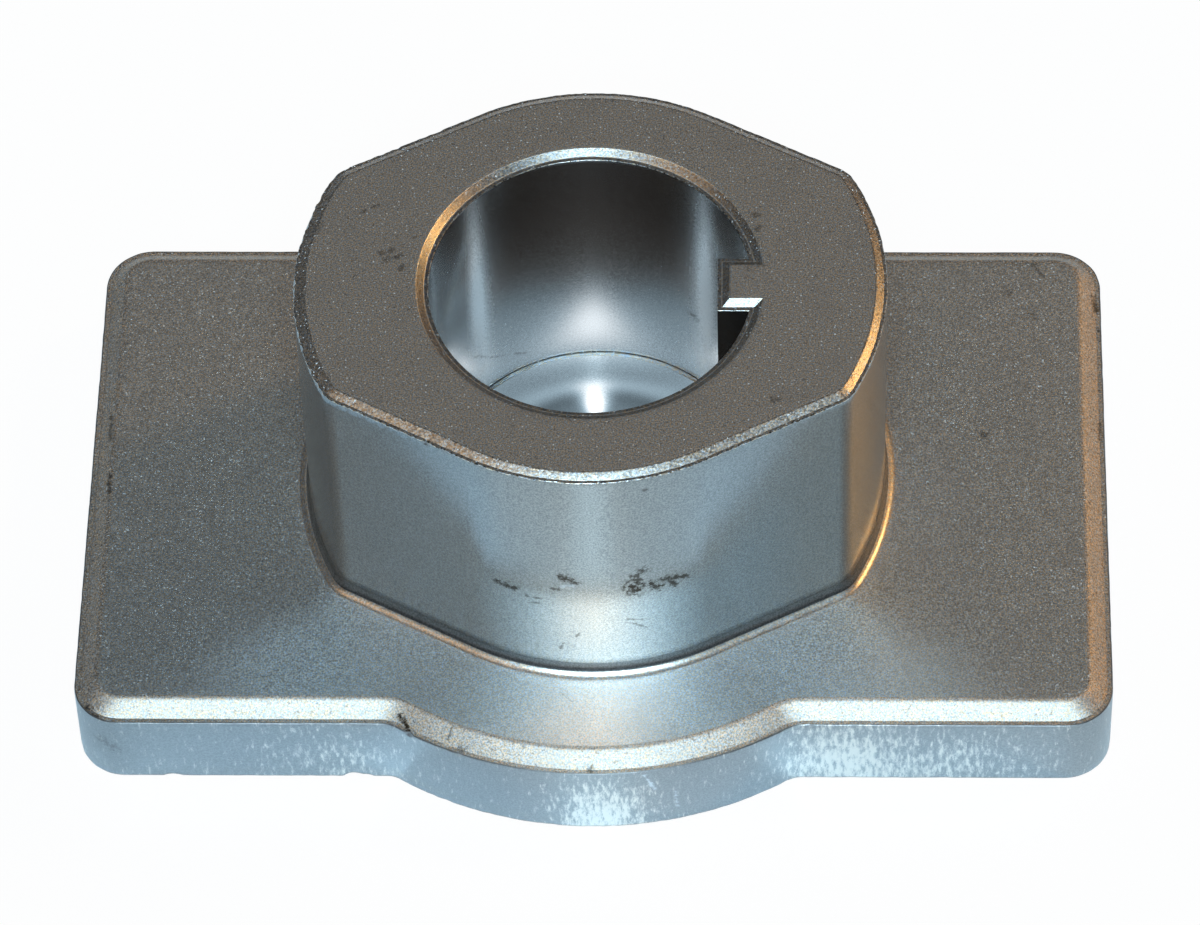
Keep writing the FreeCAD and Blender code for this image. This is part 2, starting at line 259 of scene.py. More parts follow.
def buildAdapter():
    size, soft, uneven = adapter, adapter["softEdges"], adapter["uneven"]
    top, ledge, clean = size["height"], size["ledgeHeight"], size["clean"]
    finishes = ["boreWall", "lowerBore", "ledgeFace", "rimFace", "hubTop", "pressedFace", "hubWall",
                "footFillet", "footSweep", "plateWall", "chamferFace", "hubRim", "rimEdge", "wornEdge",
                "ledgeLine"]
    hard = (0.0, None)   # a corner that stays as it is
    rings, bands = [], []

    def addRing(x, y, z, finish):
        rings.append(np.stack([x, y, np.broadcast_to(z, x.shape)], axis=1))
        bands.append(finishes.index(finish))

    # bore, from the underside up: plain lower run, ledge, keyed run, land and chamfer
    edgeStart, edgeTurn = size["ledgeEdge"]
    lowerPath = [(spread, height, "lowerBore") for spread, height in size["boreFoot"]]
    lowerPath += [(0.0, ledge - edgeStart, "lowerBore"), (0.0, ledge - edgeTurn, "ledgeFace")]
    for spread, height, finish in lowerPath:
        addRing(*roundRing(lowRadius + spread, plainTurn), height, finish)
    ledgeEnd = ledgeRoot + size["rootGap"]
    ledgeSide = np.interp(sideSteps, sideStops, (size["faceShare"]["ledge"] * ledgeRoot, ledgeRoot, ledgeEnd))
    addRing(*roundRing(ledgeRadius, ringTurn(ledgeEnd, ledgeSide)), ledge, "ledgeFace")
    landHeight = top - size["boreChamfer"][1]
    chamferSpread = size["boreLand"] + size["boreChamfer"][0]
    # the ring just above the ledge takes a dark finish: painted shade in the corner over the ledge
    borePath = softPath(
        [(0.0, ledge, "ledgeLine", 0.0), (0.0, ledge + size["ledgeShade"], "boreWall", 0.0),
         (0.0, ledge + clean, "boreWall", 0.0), (0.0, landHeight - clean, "boreWall", 0.0),
         (0.0, landHeight, "rimFace", 0.0), (size["boreLand"], landHeight, "rimFace", 0.0),
         (chamferSpread, top, "hubTop", 0.0), (chamferSpread + clean, top, "hubTop", 0.0)],
        (hard, hard, hard,
         (soft["boreWall"], "wornEdge"), (soft["boreLand"], "rimEdge"), (soft["boreTop"], "rimEdge")))
    for spread, height, finish, _ in borePath[:-1]:
        addRing(*keyedRing(spread), height, finish)
    rootTurn = math.asin((keyHalf - chamferSpread) / (boreRadius + chamferSpread))
    topSide = np.linspace(size["faceShare"]["top"] * rootTurn, rootTurn, len(sideSteps))
    topRadius = boreRadius + chamferSpread + size["topStrip"]
    addRing(*roundRing(topRadius, ringTurn(rootTurn, topSide)), top, "hubTop")

    # hub, from the top edge down to the foot; one side of its edge is chipped more than the rest
    chamferInset = size["hubLand"] + size["hubChamfer"][0]
    hubLandHeight = top - size["hubChamfer"][1]
    foot = plateTop + size["footFillet"]
    place, spread, gain = size["chippedSide"]
    rag = raggedLine(1, 2)
    hubRag = rag * (1 + gain * np.exp(-((fromFront - place) / spread)**2))
    hubPath = softPath(
        [(chamferInset + clean, top, "hubTop", 0.0), (chamferInset, top, "hubRim", uneven["hubTop"]),
         (size["hubLand"], hubLandHeight, "hubRim", 0.0), (0.0, hubLandHeight, "hubWall", uneven["hubWall"]),
         (0.0, hubLandHeight - clean, "hubWall", 0.0), (0.0, hubLandHeight - 2 * clean, "hubWall", 0.0),
         (0.0, foot + clean, "hubWall", 0.0), (0.0, foot, "footFillet", 0.0)],
        ((soft["hubTop"], None), hard, (soft["hubWall"], "wornEdge"), hard, hard, hard))
    for inset, height, finish, ragged in hubPath:
        addRing(*roundRing(hubReach(plainTurn, inset) - ragged * hubRag, plainTurn), height, finish)
    for turn in np.radians(np.linspace(0, 90, size["filletSteps"] + 1))[1:]:
        offset = size["footFillet"] * (1 - math.cos(turn))
        height = foot - size["footFillet"] * math.sin(turn)
        addRing(*roundRing(hubReach(plainTurn, -offset), plainTurn), height, footFinish(turn))
    addRing(*roundRing(hubReach(plainTurn, -size["footFillet"] - clean), plainTurn), plateTop, "pressedFace")

    # plate, from its top edge down to the underside, with nicks in both edges of its wall
    plateInset = size["plateLand"] + size["plateChamfer"][0]
    wallTop = size["plateWall"]
    # the soft edge along the underside takes the dark fillet finish: a painted contact shadow
    platePath = softPath(
        [(plateInset + 2 * clean, plateTop, "pressedFace", 0.0), (plateInset, plateTop, "chamferFace", 0.0),
         (size["plateLand"], wallTop, "chamferFace", 0.0), (0.0, wallTop, "plateWall", uneven["plateWall"]),
         (0.0, wallTop - clean, "plateWall", 0.0), (0.0, wallTop - 2 * clean, "plateWall", 0.0),
         (0.0, 3 * clean, "plateWall", 0.0), (0.0, 2 * clean, "plateWall", 0.0),
         (0.0, 0.0, "pressedFace", uneven["underside"]), (2 * clean, 0.0, "pressedFace", 0.0)],
        ((soft["plateTop"], None), hard, (soft["plateWall"], None), hard, hard, hard, hard,
         (soft["underside"], "footFillet")))
    footLift, edgeNick = dentLine(size["footNicks"]), dentLine(size["edgeNicks"])
    for inset, height, finish, ragged in platePath:
        reach = plateReach(plainTurn, inset) - ragged * rag
        if ragged and height > clean:
            reach = reach - edgeNick
        lift = footLift if height < clean and inset < clean else 0.0
        addRing(*roundRing(reach, plainTurn), height + lift, finish)

    # grid of quads, closed in both directions
    points = np.concatenate(rings) * mm
    ringTotal = len(rings)
    i, j = np.meshgrid(np.arange(ringTotal), np.arange(ringCount), indexing="ij")
    nextI, nextJ = (i + 1) % ringTotal, (j + 1) % ringCount
    corners = ((i, j), (i, nextJ), (nextI, nextJ), (nextI, j))
    quads = np.stack([ring * ringCount + step for ring, step in corners], axis=-1)
    quads = quads.reshape(-1, 4)[:, ::-1]
    mesh = bpy.data.meshes.new("adapterBody")
    mesh.vertices.add(len(points))
    mesh.vertices.foreach_set("co", points.ravel())
    mesh.loops.add(quads.size)
    mesh.loops.foreach_set("vertex_index", quads.ravel())
    mesh.polygons.add(len(quads))
    mesh.polygons.foreach_set("loop_start", np.arange(0, quads.size, 4))
    mesh.polygons.foreach_set("material_index", np.repeat(bands, ringCount))
    mesh.polygons.foreach_set("use_smooth", np.ones(len(quads), dtype=bool))
    mesh.update(calc_edges=True)
    mesh.validate()
    mesh.set_sharp_from_angle(angle=math.radians(size["sharpAngle"]))
    body = bpy.data.objects.new("adapterBody", mesh)
    bpy.context.scene.collection.objects.link(body)
    print("adapter body:", ringTotal, "rings of", ringCount, "points")
    return body, finishes


def addNode(tree, kind, inputs=None, **settings):
    made = tree.nodes.new(kind)
    for key, value in settings.items():
        setattr(made, key, value)
    for key, value in (inputs or {}).items():
        if isinstance(value, bpy.types.NodeSocket):
            tree.links.new(value, made.inputs[key])
        else:
            made.inputs[key].default_value = value
    return made


def calc(tree, operation, *values, clamp=False):
    made = addNode(tree, "ShaderNodeMath", dict(enumerate(values)), operation=operation, use_clamp=clamp)
    return made.outputs[0]


def move(tree, operation, *values):
    return addNode(tree, "ShaderNodeVectorMath", dict(enumerate(values)), operation=operation).outputs[0]


def scaled(tree, vector, factor):
    return addNode(tree, "ShaderNodeVectorMath", {0: vector, "Scale": factor}, operation="SCALE").outputs[0]


def measure(tree, operation, *values):
    made = addNode(tree, "ShaderNodeVectorMath", dict(enumerate(values)), operation=operation)
    return made.outputs["Value"]


def ramp(tree, value, low, high, outLow=0.0, outHigh=1.0):
    # smooth step of value from low to high
    limits = {"Value": value, "From Min": low, "From Max": high, "To Min": outLow, "To Max": outHigh}
    return addNode(tree, "ShaderNodeMapRange", limits, interpolation_type="SMOOTHSTEP").outputs["Result"]


def noise(tree, place, scale, detail, rough):
    settings = {"Vector": place, "Scale": scale, "Detail": detail, "Roughness": rough}
    return addNode(tree, "ShaderNodeTexNoise", settings).outputs["Fac"]


def mixColour(tree, amount, first, second):
    return addNode(tree, "ShaderNodeMix", {0: amount, 6: first, 7: second}, data_type="RGBA").outputs[2]


def fall(tree, place, centre, spread, sharp=1.0):
    # round fall exp(-(d^2)^sharp), with d the distance from the centre over the spread along each axis;
    # a spread of 0 leaves that axis out
    offset = move(tree, "SUBTRACT", place, centre)
    offset = move(tree, "MULTIPLY", offset, [1 / s if s else 0.0 for s in spread])
    square = measure(tree, "DOT_PRODUCT", offset, offset)
    return calc(tree, "EXPONENT", calc(tree, "MULTIPLY", calc(tree, "POWER", square, sharp), -1.0))


def startFinish(name):
    material = bpy.data.materials.new(name)
    material.use_nodes = True
    tree = material.node_tree
    tree.nodes.clear()
    shader = addNode(tree, "ShaderNodeBsdfPrincipled", {"Metallic": 1.0})
    addNode(tree, "ShaderNodeOutputMaterial", {"Surface": shader.outputs["BSDF"]})
    place = addNode(tree, "ShaderNodeTexCoord").outputs["Object"]
    return material, tree, shader, scaled(tree, place, 1 / mm)   # noise and marks are placed in millimetres


# points on the surface, by degrees from the middle of the front and height, or by x and y
def onOutline(turn, height, outline, inset=0.0):
    angle = math.radians(turn - 90)
    reach = float(outline(np.array(angle), inset))
    return Vector((reach * math.cos(angle), reach * math.sin(angle), height))


def onHub(turn, height):
    return onOutline(turn, height, hubReach)


def onWall(turn, height, inset=0.0):
    return onOutline(turn, height, plateReach, inset)


def onBore(turn, height):
    angle = math.radians(turn - 90)
    return Vector((boreRadius * math.cos(angle), boreRadius * math.sin(angle), height))


def onTop(x, y):
    return Vector((x, y, adapter["height"]))


def onPlate(x, y):
    return Vector((x, y, plateTop))


def paintLightAreas(tree, place, look, colour):
    # painted light and shade: areas made cooler, warmer, darker or brighter to stand in for how light falls
    # there
    for centre, spread, tint in look.get("paintedLightTints", []):
        area = mixColour(tree, fall(tree, place, centre, spread), (1, 1, 1, 1), tint)
        colour = move(tree, "MULTIPLY", colour, area)
    return colour


marks = {
    "ragScale": 2.6,
    "rag": 0.8,            # how far the noise moves a mark's edge, in widths
    "edge": 1.2,           # a mark starts at this distance and is full at the core's, in widths
    "core": -0.15,
    "dirt": (0.05, 0.036, 0.025, 1),
    "scratch": (0.80, 0.84, 0.87, 1),
}


def strokes(tree, place, lines):
    # a mark is a ragged line: the distance to its nearest point, which is the start plus the clamped share of
    # the way to the end, over its width
    rag = ramp(tree, noise(tree, place, marks["ragScale"], 4.0, 0.7), 0.3, 0.7, -marks["rag"], marks["rag"])
    total = 0.0
    for start, end, width, share in lines:
        along = end - start
        away = move(tree, "SUBTRACT", place, start)
        way = measure(tree, "DOT_PRODUCT", away, along / along.length_squared)
        near = scaled(tree, along, calc(tree, "ADD", way, 0.0, clamp=True))
        gap = measure(tree, "DISTANCE", away, near)
        raggedGap = calc(tree, "MULTIPLY_ADD", gap, marks["edge"] / width, rag)
        mask = ramp(tree, raggedGap, marks["edge"], marks["core"], 0.0, share)
        total = calc(tree, "MAXIMUM", total, mask)
    return total


def addMarks(tree, place, look, colour, dull):
    # dirt darkens the metal; pale scratches lie on it as thin matt films
    if "dirt" in look:
        colour = mixColour(tree, strokes(tree, place, look["dirt"]), colour, marks["dirt"])
    if "bright" in look:
        film = strokes(tree, place, look["bright"])
        colour = mixColour(tree, film, colour, marks["scratch"])
        dull = calc(tree, "MAXIMUM", dull, film)
    return colour, dull


def joinFinish(tree, shader, colour, dull, rough, height, look, depth):
    bump = addNode(tree, "ShaderNodeBump", {"Strength": look["bump"], "Distance": depth, "Height": height})
    tree.links.new(colour, shader.inputs["Base Color"])
    if isinstance(dull, bpy.types.NodeSocket):
        tree.links.new(calc(tree, "SUBTRACT", 1.0, dull, clamp=True), shader.inputs["Metallic"])
    tree.links.new(rough, shader.inputs["Roughness"])
    tree.links.new(bump.outputs["Normal"], shader.inputs["Normal"])


# scales are per millimetre; a range is where the noise starts to show and where it shows in full
grainRange = (0.3, 0.7)
pressed = {
    "hueScale": 8.0,
    "hueShift": (31.0, 17.0, 5.0),
    "hueRange": (0.32, 0.68),
    "warm": (1.24, 1.01, 0.72, 1),
    "cool": (0.87, 0.995, 1.13, 1),
    "blotchScale": 0.35,
    "blotchRange": (0.45, 0.7),
    "blotchShare": 0.2,
    "poreScale": 4.6,
    "poreRange": (0.38, 0.25),
    "poreColour": (0.13, 0.095, 0.075, 1),
    "glintScale": 6.5,
    "glintShift": (7.0, 3.0, 11.0),
    "glintRange": (0.735, 0.81),
    "paintedGlintColour": (0.80, 0.86, 0.90, 1),
    "roughSpread": 0.05,
    "depth": 0.00002,      # metres
}


def pressedFinish(name, look):
    # pressed powder face: fine grain in warm and cool greys, dark pores and a few painted glints, pale matt
    # spots that stand in for sparkle
    material, tree, shader, place = startFinish(name)
    grain = noise(tree, place, look["grainScale"], 2.0, 0.6)
    hue = noise(tree, move(tree, "ADD", place, pressed["hueShift"]), pressed["hueScale"], 1.0, 0.5)
    blotch = ramp(tree, noise(tree, place, pressed["blotchScale"], 3.0, 0.6), *pressed["blotchRange"])
    pores = ramp(tree, noise(tree, place, pressed["poreScale"], 1.0, 0.5), *pressed["poreRange"])
    # painted glints: pale, less metallic spots that stand in for sparkle
    paintedGlints = noise(tree, move(tree, "ADD", place, pressed["glintShift"]), pressed["glintScale"], 0.0, 0.5)
    paintedGlints = calc(tree, "MULTIPLY", ramp(tree, paintedGlints, *pressed["glintRange"]), look["paintedGlints"])
    colour = mixColour(tree, ramp(tree, grain, *grainRange), look["dark"], look["light"])
    tint = mixColour(tree, ramp(tree, hue, *pressed["hueRange"]), pressed["warm"], pressed["cool"])
    colour = paintLightAreas(tree, place, look, move(tree, "MULTIPLY", colour, tint))
    colour = mixColour(tree, calc(tree, "MULTIPLY", blotch, pressed["blotchShare"]), colour, look["stain"])
    colour = mixColour(tree, calc(tree, "MULTIPLY", pores, look["pores"]), colour, pressed["poreColour"])
    colour = mixColour(tree, paintedGlints, colour, pressed["paintedGlintColour"])
    colour, dull = addMarks(tree, place, look, colour, paintedGlints)
    roughGrain = ramp(tree, grain, *grainRange, -pressed["roughSpread"], pressed["roughSpread"])
    rough = calc(tree, "ADD", roughGrain, look["rough"])
    joinFinish(tree, shader, colour, dull, rough, grain, look, pressed["depth"])
    return material


drawn = {
    "streakStretch": (1.0, 1.0, 0.05),
    "streakScale": 5.0,
    "streakShare": 0.1,
    "grainScale": 8.0,
    "roughSpread": 0.02,
    "depth": 0.000005,     # metres
    "scuffStretch": (1.0, 1.0, 0.3),
    "scuffScale": 3.2,
    "scuffRange": (0.55, 0.79),
    "scuffRough": 0.2,
    "scuffColour": (1.0, 0.94, 0.87, 1),
    "paintedHighlightSpread": 0.2,
    "paintedHighlightColour": (0.98, 0.99, 1.0, 1),
}


def drawnFinish(name, look):
    # wall rubbed by the die: fine grain, faint upright streaks and pale scuffs where it was handled; also
    # painted light tints and painted highlights where a look lists them
    material, tree, shader, place = startFinish(name)
    stretched = move(tree, "MULTIPLY", place, drawn["streakStretch"])
    streak = noise(tree, stretched, drawn["streakScale"], 3.0, 0.6)
    grain = noise(tree, place, drawn["grainScale"], 2.0, 0.6)
    grainPart = calc(tree, "MULTIPLY", grain, 1 - drawn["streakShare"])
    mottle = calc(tree, "MULTIPLY_ADD", streak, drawn["streakShare"], grainPart)
    colour = mixColour(tree, ramp(tree, mottle, *grainRange), look["dark"], look["light"])
    roughGrain = ramp(tree, mottle, *grainRange, -drawn["roughSpread"], drawn["roughSpread"])
    rough = calc(tree, "ADD", roughGrain, look["rough"])
    dull = 0.0
    colour = paintLightAreas(tree, place, look, colour)
    if "scuffs" in look:
        # a scuff shows where streaky noise plus the handled areas' share passes a limit
        handled = 0.0
        for centre, spread, share in look["scuffs"]:
            handled = calc(tree, "MULTIPLY_ADD", fall(tree, place, centre, spread), share, handled)
        stretched = move(tree, "MULTIPLY", place, drawn["scuffStretch"])
        streaky = noise(tree, stretched, drawn["scuffScale"], 4.0, 0.75)
        scuff = ramp(tree, calc(tree, "ADD", streaky, handled), *drawn["scuffRange"], 0.0, look["scuff"])
        colour = mixColour(tree, scuff, colour, drawn["scuffColour"])
        rough = calc(tree, "MULTIPLY_ADD", scuff, drawn["scuffRough"], rough)
    for centre, spread, share in look.get("paintedHighlights", []):
        # painted highlight: a pale matt upright band on the wall, brighter with the grain
        low, high = (1 - drawn["paintedHighlightSpread"]) * share, (1 + drawn["paintedHighlightSpread"]) * share
        strength = ramp(tree, mottle, *grainRange, low, high)
        paintedHighlight = calc(tree, "MULTIPLY", fall(tree, place, centre, spread), strength)
        colour = mixColour(tree, paintedHighlight, colour, drawn["paintedHighlightColour"])
        dull = calc(tree, "ADD", dull, paintedHighlight)
    colour, dull = addMarks(tree, place, look, colour, dull)
    joinFinish(tree, shader, colour, dull, rough, grain, look, drawn["depth"])
    return material


# dirt and scratches, each from one point to another with its width in millimetres and its strength
hubDirt = [
    (onHub(-21.3, 16.0), onHub(-17.7, 15.95), 0.5, 0.92),
    (onHub(-6.1, 18.1), onHub(-3.4, 17.6), 0.55, 0.92),
    (onHub(-14.5, 15.3), onHub(-11.2, 15.35), 0.2, 0.65),
    (onHub(-14.3, 14.6), onHub(-11.5, 14.75), 0.16, 0.6),
    (onHub(-8.5, 16.6), onHub(-7.1, 16.6), 0.25, 0.7),
    (onHub(10.8, 17.95), onHub(12.4, 18.45), 0.5, 0.88),
    (onHub(9.2, 17.5), onHub(11.9, 17.5), 0.4, 0.88),
    (onHub(9.7, 16.8), onHub(10.7, 16.3), 0.8, 1.0),
    (onHub(11.0, 17.1), onHub(12.6, 16.6), 0.6, 0.96),
    (onHub(12.6, 16.6), onHub(14.4, 16.65), 0.35, 0.88),
    (onHub(14.4, 16.65), onHub(15.8, 16.3), 0.65, 0.96),
    (onHub(16.8, 16.9), onHub(18.9, 16.9), 0.5, 0.88),
    (onHub(18.9, 16.9), onHub(22.1, 16.65), 0.5, 0.88),
    (onHub(19.4, 16.4), onHub(19.8, 16.0), 0.45, 0.92),
    (onHub(8.2, 13.15), onHub(11.9, 12.8), 0.16, 0.6),
    (onHub(7.9, 12.8), onHub(10.2, 12.5), 0.16, 0.6),
    (onHub(10.2, 12.5), onHub(13.1, 11.8), 0.18, 0.6),
    (onHub(-2.6, 11.75), onHub(-3.3, 11.3), 0.16, 0.65),
    (onHub(-6.4, 10.35), onHub(-7.2, 9.8), 0.18, 0.65),
    (onHub(13.2, 27.45), onHub(13.9, 27.4), 0.2, 0.6),
]
hubScratches = [
    (onHub(-5.9, 17.0), onHub(-3.6, 17.15), 0.3, 0.4),
]
topDirt = [
    (onTop(-16.2, 6.0), onTop(-14.8, 6.8), 0.2, 0.5),
    (onTop(-19.4, 3.2), onTop(-18.6, 5.3), 0.25, 0.29),
    (onTop(-14.4, 2.4), onTop(-13.6, 2.8), 0.3, 0.5),
    (onTop(-14.1, 1.9), onTop(-12.9, 2.3), 0.3, 0.54),
    (onTop(-13.1, 1.1), onTop(-12.95, 1.3), 0.3, 0.5),
    (onTop(-12.4, 3.8), onTop(-12.0, 3.9), 0.25, 0.43),
    (onTop(11.2, 5.9), onTop(11.4, 5.8), 0.35, 0.5),
    (onTop(11.4, 4.7), onTop(11.6, 4.9), 0.35, 0.5),
    (onTop(12.7, -10.3), onTop(12.9, -10.2), 0.35, 0.5),
]
plateDirt = [
    (onPlate(28.9, 19.85), onPlate(30.4, 19.65), 0.25, 0.4),
    (onPlate(30.4, 19.65), onPlate(31.4, 19.1), 0.3, 0.43),
    (onPlate(31.4, 19.1), onPlate(31.95, 18.2), 0.25, 0.43),
    (onPlate(29.4, 16.7), onPlate(29.6, 16.6), 0.4, 0.43),
    (onPlate(31.0, 14.7), onPlate(31.3, 14.4), 0.4, 0.43),
    (onPlate(27.4, 3.6), onPlate(27.6, 3.5), 0.45, 0.54),
    (onPlate(-2.2, -19.05), onPlate(-1.3, -19.9), 0.12, 0.36),
    (onPlate(-11.4, -20.85), onPlate(-10.5, -21.2), 0.2, 0.43),
    (onPlate(-9.6, -21.85), onPlate(-7.7, -22.5), 0.18, 0.43),
]
chamferDirt = [
    (onWall(-32.7, 6.67, 0.81), onWall(-31.6, 6.5, 0.6), 0.28, 1.0),
    (onWall(-31.6, 6.5, 0.6), onWall(-29.8, 6.35, 0.2), 0.3, 1.0),
    (onWall(-23.7, 7.2, 1.46), onWall(-23.6, 6.6, 0.72), 0.15, 0.65),
    (onWall(-21.2, 6.45, 0.5), onWall(-20.8, 6.4, 0.4), 0.4, 0.75),
    (onWall(-0.3, 6.38, 0.45), onWall(0.1, 6.38, 0.45), 0.4, 0.7),
    (onWall(-60.6, 6.35, 0.25), onWall(-59.2, 6.35, 0.05), 0.4, 0.8),
    (onWall(-98.9, 6.95, 1.15), onWall(-95.1, 7.04, 1.27), 0.3, 0.6),
    (onWall(-89.9, 7.12, 1.37), onWall(-87.2, 7.2, 1.5), 0.3, 0.7),
    (onWall(115.2, 6.45, 0.5), onWall(113.5, 6.35, 0.4), 0.35, 0.7),
    (onWall(110.9, 6.35, 0.15), onWall(110.5, 6.35, 0.15), 0.35, 0.7),
    (onWall(98.2, 6.35, 0.3), onWall(96.1, 6.35, 0.4), 0.3, 0.6),
]
wallDirt = [
    (onWall(-58.8, 4.1), onWall(-58.1, 3.6), 0.6, 0.3),
    (onWall(-58.1, 3.6), onWall(-57.6, 3.3), 0.5, 0.35),
]
wallScratches = [
    (onWall(8.4, 5.85), onWall(10.0, 4.2), 0.2, 0.85),
    (onWall(13.2, 3.4), onWall(13.6, 1.6), 0.18, 0.6),
]
boreDirt = [
    (onBore(-128.0, 12.0), onBore(-137.7, 10.2), 0.16, 0.5),
    (onBore(-137.7, 10.2), onBore(-151.7, 8.75), 0.14, 0.4),
    (onBore(142.9, 14.2), onBore(141.0, 14.2), 0.35, 0.7),
]


def grey(value):
    return (value, value, value, 1)


# a look with a grain scale is a pressed face, and the others are drawn walls;
# painted light tints, scuffs and painted highlights have a centre and a spread in millimetres, and then a
# colour or a share
finishLooks = {
    "hubTop": {
        "grainScale": 10.0, "dark": (0.43, 0.42, 0.415, 1), "light": (0.755, 0.745, 0.735, 1),
        "stain": (0.47, 0.45, 0.43, 1), "rough": 0.49, "bump": 0.55, "pores": 0.4, "paintedGlints": 0.6,
        "dirt": topDirt},
    "pressedFace": {
        "grainScale": 10.0, "dark": (0.46, 0.455, 0.45, 1), "light": (0.80, 0.795, 0.79, 1),
        "stain": (0.48, 0.46, 0.44, 1), "rough": 0.49, "bump": 0.5, "pores": 0.2, "paintedGlints": 0.55,
        "dirt": plateDirt,
        # painted light: a cooler cast over the plate's front and a warmer spot at its middle front
        "paintedLightTints": [((0.0, -20.0, 7.0), (30.0, 12.0, 5.0), (0.80, 0.965, 1.10, 1)),
                  ((0.0, -23.0, 7.0), (5.0, 6.0, 5.0), (1.38, 1.02, 0.85, 1))]},
    "ledgeFace": {
        "grainScale": 7.0, "dark": (0.36, 0.38, 0.40, 1), "light": (0.46, 0.48, 0.50, 1),
        "stain": grey(0.36), "rough": 0.6, "bump": 0.3, "pores": 0.3, "paintedGlints": 0.3},
    # painted shade: the dark line in the corner above the ledge
    "ledgeLine": {
        "grainScale": 5.0, "dark": grey(0.03), "light": grey(0.14),
        "stain": grey(0.04), "rough": 0.5, "bump": 0.3, "pores": 0.5, "paintedGlints": 0.6},
    "rimFace": {
        "grainScale": 7.0, "dark": grey(0.28), "light": grey(0.56),
        "stain": (0.45, 0.43, 0.41, 1), "rough": 0.36, "bump": 0.5, "pores": 0.5, "paintedGlints": 0.8,
        # painted shade: the bore's rim darker and cooler at its left
        "paintedLightTints": [((-11.8, 1.5, 28.8), (4.0, 7.0, 3.0), (0.62, 0.66, 0.74, 1))]},
    "hubRim": {
        "grainScale": 6.0, "dark": (0.33, 0.32, 0.31, 1), "light": (0.70, 0.69, 0.68, 1),
        "stain": (0.5, 0.48, 0.46, 1), "rough": 0.38, "bump": 0.7, "pores": 0.6, "paintedGlints": 1.0},
    "rimEdge": {
        "grainScale": 6.0, "dark": grey(0.66), "light": grey(0.96),
        "stain": (0.7, 0.68, 0.66, 1), "rough": 0.38, "bump": 0.2, "pores": 0.0, "paintedGlints": 0.3},
    "wornEdge": {
        "grainScale": 4.0, "dark": grey(0.20), "light": grey(0.95),
        "stain": (0.5, 0.48, 0.46, 1), "rough": 0.30, "bump": 0.6, "pores": 0.6, "paintedGlints": 1.0},
    "chamferFace": {
        "grainScale": 8.0, "dark": (0.33, 0.305, 0.285, 1), "light": (0.74, 0.685, 0.645, 1),
        "stain": (0.45, 0.43, 0.41, 1), "rough": 0.56, "bump": 0.6, "pores": 0.6, "paintedGlints": 0.5,
        "dirt": chamferDirt},
    "footSweep": {
        "grainScale": 7.0, "dark": (0.52, 0.51, 0.50, 1), "light": (0.82, 0.80, 0.78, 1),
        "stain": (0.45, 0.43, 0.41, 1), "rough": 0.34, "bump": 0.3, "pores": 0.25, "paintedGlints": 0.3},
    # painted shade: the dark finish in the crease at the hub's foot and along the plate's lower edge
    "footFillet": {"dark": grey(0.17), "light": grey(0.32), "rough": 0.32, "bump": 0.2},
    "hubWall": {
        "dark": (0.22, 0.245, 0.265, 1), "light": (0.385, 0.42, 0.445, 1), "rough": 0.19, "bump": 0.12,
        "dirt": hubDirt, "bright": hubScratches,
        # painted light: the wall brighter at the middle of the front, and warmer at the right front
        "paintedLightTints": [((0.0, -17.2, 0.0), (9.0, 9.0, 0.0), (1.42, 1.26, 1.13, 1)),
                  ((15.5, -10.5, 0.0), (4.0, 4.0, 0.0), (1.02, 0.93, 0.86, 1))]},
    "plateWall": {
        "dark": (0.34, 0.35, 0.36, 1), "light": (0.45, 0.46, 0.47, 1), "rough": 0.3, "bump": 0.2,
        "dirt": wallDirt, "bright": wallScratches, "scuff": 0.82,
        "scuffs": [((17.0, -21.2, 2.0), (4.0, 3.0, 5.0), 0.23), ((25.0, -21.2, 1.4), (6.0, 3.0, 4.0), 0.15),
                   ((0.8, -25.4, 1.0), (3.2, 3.0, 4.2), 0.27), ((-17.5, -21.2, 1.5), (5.0, 3.0, 4.0), 0.11)]},
    "boreWall": {
        "dark": (0.48, 0.49, 0.50, 1), "light": (0.64, 0.65, 0.66, 1), "rough": 0.2, "bump": 0.12,
        "dirt": boreDirt,
        # painted highlights: pale upright bands on the bore's back wall
        "paintedHighlights": [((-8.35, 7.35, 18.0), (0.85, 0.85, 9.5), 1.0), ((7.75, 8.0, 18.0), (0.95, 0.95, 9.5), 1.0),
                  ((-8.1, 7.6, 15.0), (1.7, 1.7, 8.5), 0.35), ((7.4, 8.3, 15.0), (1.7, 1.7, 8.5), 0.35),
                  ((-10.4, 3.9, 15.0), (2.6, 2.6, 9.0), 0.14), ((9.7, 5.4, 16.0), (2.2, 2.2, 9.0), 0.18)]},
    "lowerBore": {
        "dark": (0.62, 0.63, 0.64, 1), "light": (0.74, 0.75, 0.76, 1), "rough": 0.15, "bump": 0.08,
        # painted highlight: a bright narrow streak at the back of the lower bore
        "paintedLightTints": [((-0.4, 10.8, 0.0), (0.9, 2.0, 0.0), (1.38, 1.36, 1.34, 1))]},
}

body, finishes = buildAdapter()
for finish in finishes:
    look = finishLooks[finish]
    make = pressedFinish if "grainScale" in look else drawnFinish
    body.data.materials.append(make(finish, look))
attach(body, "root")
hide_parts("blade_adapter")
print("finishes:", ", ".join(finishes))

